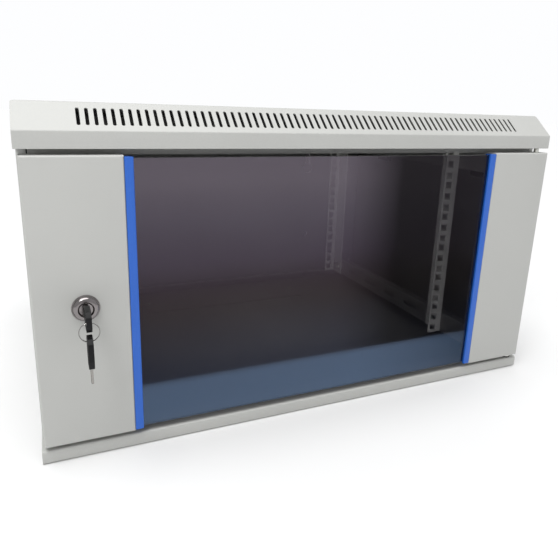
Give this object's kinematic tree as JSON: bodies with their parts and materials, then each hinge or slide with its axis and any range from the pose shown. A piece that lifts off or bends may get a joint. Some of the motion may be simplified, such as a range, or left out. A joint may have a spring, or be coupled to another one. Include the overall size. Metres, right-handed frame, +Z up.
{
  "type": "network server rack cabinet",
  "caption": "Wall-hung rack cabinet: folded steel body with slotted slanted cover, hinged smoked-glass door with cam lock and keys, square-holed mounting rails inside.",
  "frame": {"origin": "centre of the underside of the base tray", "axes": "+X to the right seen from the front, +Y from the door to the wall, +Z up"},
  "size_m": [0.6, 0.4972, 0.3354],
  "materials": {
    "grey_paint": "fine-textured light grey powder coat",
    "blue_plastic": "satin blue extrusion",
    "smoked_glass": "polished, grey-tinted, toughened",
    "zinc_steel": "bright zinc plate",
    "nickel_steel": "nickel plate, lightly worn",
    "chrome": "polished, slightly smoky",
    "black_plastic": "moulded, fine grain",
    "black_rubber": "matt",
    "brass": "machined"
  },
  "bodies": {
    "cabinet": {"base_tray": "grey_paint", "top_cover": "grey_paint", "back_panel": "grey_paint", "side_panel_left": "grey_paint", "side_panel_right": "grey_paint", "front_post_left": "grey_paint", "front_post_right": "grey_paint", "rear_post_left": "grey_paint", "rear_post_right": "grey_paint", "top_crossbar": "grey_paint", "arm_lower_left": "grey_paint", "arm_lower_right": "grey_paint", "arm_upper_left": "grey_paint", "arm_upper_right": "grey_paint", "rail_front_left": "grey_paint", "rail_front_right": "grey_paint", "rail_rear_left": "grey_paint", "rail_rear_right": "grey_paint", "rail_bolts": "zinc_steel", "rail_nuts": "zinc_steel", "arm_screws": "zinc_steel", "cover_screws": "zinc_steel", "cable_plate_top": "grey_paint", "cable_plate_base": "grey_paint", "cable_plate_screws": "zinc_steel", "hinge_bush_upper": "black_plastic", "hinge_bush_lower": "black_plastic", "door_bumpers": "black_rubber", "earth_stud": "brass", "latch_frames": "black_plastic"},
    "door": {"door_panel_left": "grey_paint", "door_panel_right": "grey_paint", "door_glass": "smoked_glass", "strip_left": "blue_plastic", "strip_right": "blue_plastic", "strip_screws": "zinc_steel", "hinge_bracket_upper": "zinc_steel", "hinge_bracket_lower": "zinc_steel", "hinge_pin_lower": "zinc_steel", "hinge_spring": "zinc_steel", "lock_body": "chrome", "lock_nut": "zinc_steel"},
    "upper_hinge_pin": {"hinge_pin_upper": "zinc_steel"},
    "lock_plug": {"lock_plug": "chrome", "lock_cam": "zinc_steel", "cam_screw": "zinc_steel", "key_head": "black_plastic", "key_blade": "nickel_steel"},
    "key_ring": {"key_ring": "nickel_steel"},
    "spare_key": {"spare_key_head": "black_plastic", "spare_key_blade": "nickel_steel"},
    "latch_left_front": {"latch_left_front": "black_plastic"},
    "latch_left_rear": {"latch_left_rear": "black_plastic"},
    "latch_right_front": {"latch_right_front": "black_plastic"},
    "latch_right_rear": {"latch_right_rear": "black_plastic"}
  },
  "joints": [
    {"name": "door_hinge", "type": "hinge", "parent": "cabinet", "child": "door", "pos_m": [0.287, -0.2187, 0.1555], "axis": [0, 0, 1], "range_deg": [0, 180]},
    {"name": "upper_pin_slide", "type": "slide", "parent": "door", "child": "upper_hinge_pin", "axis": [0, 0, -1], "range_m": [0, 0.012], "stiffness_N_per_m": 400, "springref_m": -0.01, "deforming": ["hinge_spring"]},
    {"name": "lock_turn", "type": "hinge", "parent": "door", "child": "lock_plug", "pos_m": [-0.2525, -0.2287, 0.1555], "axis": [0, 1, 0], "range_deg": [0, 90]},
    {"name": "key_ring_swing", "type": "hinge", "parent": "lock_plug", "child": "key_ring", "pos_m": [-0.2525, -0.2627, 0.15427], "axis": [1, 0, 0], "range_deg": [-70, 15]},
    {"name": "spare_key_slide_round_ring", "type": "hinge", "parent": "key_ring", "child": "spare_key", "pos_m": [-0.2525, -0.2627, 0.14567], "axis": [0, 1, 0], "range_deg": [-90, 0]},
    {"name": "latch_left_front_slide", "type": "slide", "parent": "cabinet", "child": "latch_left_front", "axis": [0, 0, -1], "range_m": [0, 0.008], "stiffness_N_per_m": 300, "springref_m": -0.005},
    {"name": "latch_left_rear_slide", "type": "slide", "parent": "cabinet", "child": "latch_left_rear", "axis": [0, 0, -1], "range_m": [0, 0.008], "stiffness_N_per_m": 300, "springref_m": -0.005},
    {"name": "latch_right_front_slide", "type": "slide", "parent": "cabinet", "child": "latch_right_front", "axis": [0, 0, -1], "range_m": [0, 0.008], "stiffness_N_per_m": 300, "springref_m": -0.005},
    {"name": "latch_right_rear_slide", "type": "slide", "parent": "cabinet", "child": "latch_right_rear", "axis": [0, 0, -1], "range_m": [0, 0.008], "stiffness_N_per_m": 300, "springref_m": -0.005}
  ],
  "couplings": [
    {"joint": "spare_key_slide_round_ring", "follows": "lock_turn", "ratio": -1}
  ]
}
